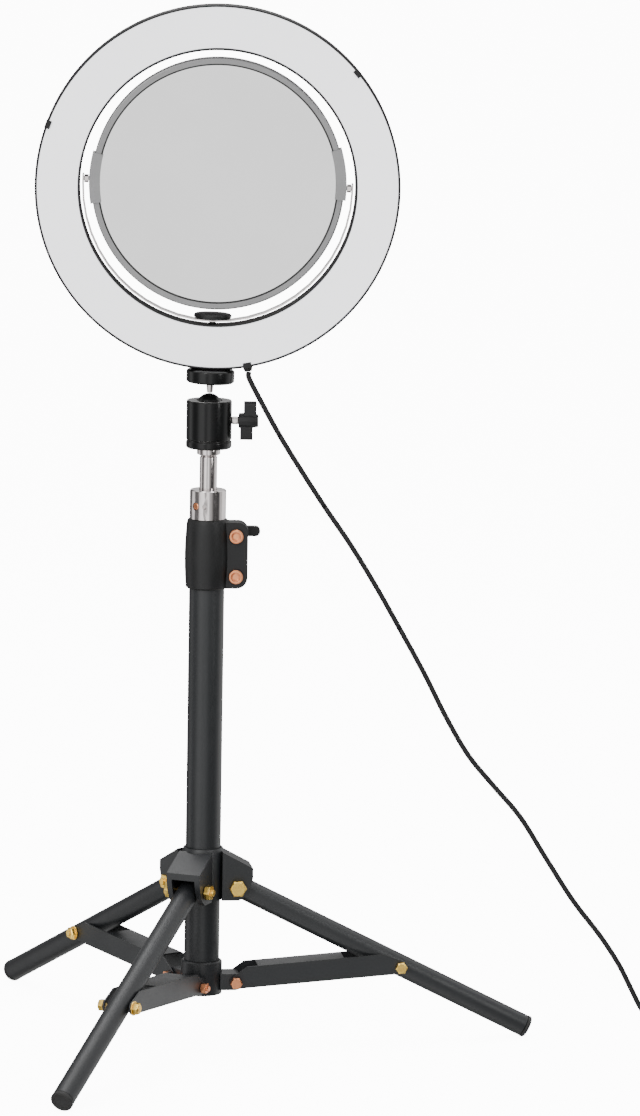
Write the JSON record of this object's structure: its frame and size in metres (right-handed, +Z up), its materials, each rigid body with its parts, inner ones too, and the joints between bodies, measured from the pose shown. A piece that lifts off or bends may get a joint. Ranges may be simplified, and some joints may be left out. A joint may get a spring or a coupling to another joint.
{
  "type": "ring light",
  "caption": "Ring light with a tilting round mirror in it, on a ball head and a folding tripod with a telescoping column and a USB lead.",
  "frame": {"origin": "on the floor, under the middle of the light and its tripod, with the lead left out", "axes": "+Z up the column, -Y the way the ring faces, +X to the right as seen from in front"},
  "size_m": [0.6422, 0.4228, 0.7523],
  "materials": {
    "black_coat": "satin black powder coat",
    "black_anodised": "black anodised, turned",
    "black_plastic": "moulded, fine grain",
    "chrome": "plated, turned",
    "yellow_zinc": "yellow passivated zinc",
    "copper_zinc": "copper-red passivated zinc",
    "milky_plastic": "milky diffusing sheet",
    "mirror_glass": "silvered glass",
    "grey_frame": "silver-grey plated plastic",
    "circuit_board": "white solder mask",
    "rubber": "matt",
    "cord_sheath": "smooth PVC sheath"
  },
  "bodies": {
    "root": {"column_tube": "black_coat", "column_foot_plug": "black_plastic", "lower_bracket": "black_coat", "clamp_collar": "black_plastic", "clamp_upper_bolt": "copper_zinc", "clamp_lower_bolt": "copper_zinc", "brace_1_inner_bolt": "copper_zinc", "brace_2_inner_bolt": "copper_zinc", "brace_3_inner_bolt": "copper_zinc", "cord_lead": "cord_sheath", "controller_case": "black_plastic", "cord_coil": "cord_sheath", "usb_plug": "black_plastic"},
    "clamp_knob": {"clamp_knob": "black_plastic"},
    "inner_column": {"inner_tube": "black_coat", "inner_tube_bush": "black_plastic", "spigot_socket": "chrome", "socket_set_screw": "copper_zinc"},
    "pan_base": {"spigot_stud": "chrome", "ball_head_base": "black_anodised", "ball_head_housing": "black_anodised"},
    "lock_knob": {"ball_lock_knob": "black_plastic"},
    "ball": {"ball": "black_anodised"},
    "head": {"ball_stem": "chrome", "mount_platform": "black_anodised", "mount_foot": "black_plastic", "ring_housing": "black_plastic", "diffuser": "milky_plastic", "led_board": "circuit_board", "cable_gland": "rubber"},
    "yoke": {"yoke_strip": "chrome"},
    "yoke_screw": {"yoke_thumbscrew": "black_plastic"},
    "mirror": {"mirror_frame": "grey_frame", "mirror_front_glass": "mirror_glass", "mirror_rear_glass": "mirror_glass", "mirror_left_pad": "grey_frame", "mirror_right_pad": "grey_frame", "mirror_left_pivot": "chrome", "mirror_right_pivot": "chrome"},
    "spider": {"spider": "black_coat", "leg_1_pivot_bolt": "yellow_zinc", "leg_2_pivot_bolt": "yellow_zinc", "leg_3_pivot_bolt": "yellow_zinc"},
    "leg_1": {"leg_1_tube": "black_coat", "leg_1_foot_plug": "rubber"},
    "brace_1": {"brace_1": "black_coat", "brace_1_outer_bolt": "yellow_zinc"},
    "leg_2": {"leg_2_tube": "black_coat", "leg_2_foot_plug": "rubber"},
    "brace_2": {"brace_2": "black_coat", "brace_2_outer_bolt": "yellow_zinc"},
    "leg_3": {"leg_3_tube": "black_coat", "leg_3_foot_plug": "rubber"},
    "brace_3": {"brace_3": "black_coat", "brace_3_outer_bolt": "yellow_zinc"},
    "button_dim": {"button_dim": "rubber"},
    "button_power": {"button_power": "rubber"},
    "button_bright": {"button_bright": "rubber"}
  },
  "joints": [
    {"name": "column_extend", "type": "slide", "parent": "root", "child": "inner_column", "axis": [0, 0, 1], "range_m": [0, 0.22]},
    {"name": "clamp_knob_turn", "type": "hinge", "parent": "root", "child": "clamp_knob", "pos_m": [-0.0257, 0.0132, 0.372], "axis": [0, 1, 0], "range_deg": [0, 180]},
    {"name": "head_pan", "type": "hinge", "parent": "inner_column", "child": "pan_base", "pos_m": [-0.0463, 0.0132, 0.432], "axis": [0, 0, 1], "range_deg": [-90, 90]},
    {"name": "ball_tilt", "type": "hinge", "parent": "pan_base", "child": "ball", "pos_m": [-0.0463, 0.0132, 0.465], "axis": [1, 0, 0], "range_deg": [-30, 30]},
    {"name": "ball_roll", "type": "hinge", "parent": "ball", "child": "head", "pos_m": [-0.0463, 0.0132, 0.465], "axis": [0, 1, 0], "range_deg": [-25, 25], "deforming": ["cord_lead"]},
    {"name": "lock_knob_turn", "type": "hinge", "parent": "pan_base", "child": "lock_knob", "pos_m": [-0.0463, 0.0132, 0.455], "axis": [1, 0, 0], "range_deg": [0, 180]},
    {"name": "yoke_swivel", "type": "hinge", "parent": "head", "child": "yoke", "pos_m": [-0.04239, 0.0132, 0.62485], "axis": [0.0244, 0, 0.9997], "continuous": true},
    {"name": "thumbscrew_turn", "type": "hinge", "parent": "head", "child": "yoke_screw", "pos_m": [-0.04239, 0.0132, 0.62485], "axis": [0.0244, 0, 0.9997], "range_deg": [0, 180]},
    {"name": "mirror_tilt", "type": "hinge", "parent": "yoke", "child": "mirror", "pos_m": [-0.04239, 0.0132, 0.62485], "axis": [0.9997, 0, -0.0244], "continuous": true},
    {"name": "tripod_fold", "type": "slide", "parent": "root", "child": "spider", "axis": [0, 0, 1], "range_m": [0, 0.18518]},
    {"name": "leg_1_fold", "type": "hinge", "parent": "spider", "child": "leg_1", "pos_m": [-0.02245, 0.01592, 0.11575], "axis": [-0.1132, 0.9936, 0], "range_deg": [0, 60.31]},
    {"name": "leg_2_fold", "type": "hinge", "parent": "spider", "child": "leg_2", "pos_m": [-0.06058, 0.03249, 0.11575], "axis": [-0.8039, -0.5948, 0], "range_deg": [0, 60.31]},
    {"name": "leg_3_fold", "type": "hinge", "parent": "spider", "child": "leg_3", "pos_m": [-0.05587, -0.00881, 0.11575], "axis": [0.9171, -0.3987, 0], "range_deg": [0, 60.31]},
    {"name": "brace_1_fold", "type": "hinge", "parent": "root", "child": "brace_1", "pos_m": [-0.02245, 0.01592, 0.04532], "axis": [0.1132, -0.9936, 0], "range_deg": [0, 82.03]},
    {"name": "brace_2_fold", "type": "hinge", "parent": "root", "child": "brace_2", "pos_m": [-0.06058, 0.03249, 0.04532], "axis": [0.8039, 0.5948, 0], "range_deg": [0, 82.03]},
    {"name": "brace_3_fold", "type": "hinge", "parent": "root", "child": "brace_3", "pos_m": [-0.05587, -0.00881, 0.04532], "axis": [-0.9171, 0.3987, 0], "range_deg": [0, 82.03]},
    {"name": "button_dim_press", "type": "slide", "parent": "root", "child": "button_dim", "axis": [0, 0, -1], "range_m": [0, 0.001], "stiffness_N_per_m": 300},
    {"name": "button_power_press", "type": "slide", "parent": "root", "child": "button_power", "axis": [0, 0, -1], "range_m": [0, 0.001], "stiffness_N_per_m": 300},
    {"name": "button_bright_press", "type": "slide", "parent": "root", "child": "button_bright", "axis": [0, 0, -1], "range_m": [0, 0.001], "stiffness_N_per_m": 300}
  ],
  "couplings": [
    {"joint": "leg_1_fold", "follows": "tripod_fold", "rad_per_m": 5.6833},
    {"joint": "leg_2_fold", "follows": "tripod_fold", "rad_per_m": 5.6833},
    {"joint": "leg_3_fold", "follows": "tripod_fold", "rad_per_m": 5.6833},
    {"joint": "brace_1_fold", "follows": "tripod_fold", "rad_per_m": 7.7306},
    {"joint": "brace_2_fold", "follows": "tripod_fold", "rad_per_m": 7.7306},
    {"joint": "brace_3_fold", "follows": "tripod_fold", "rad_per_m": 7.7306}
  ]
}
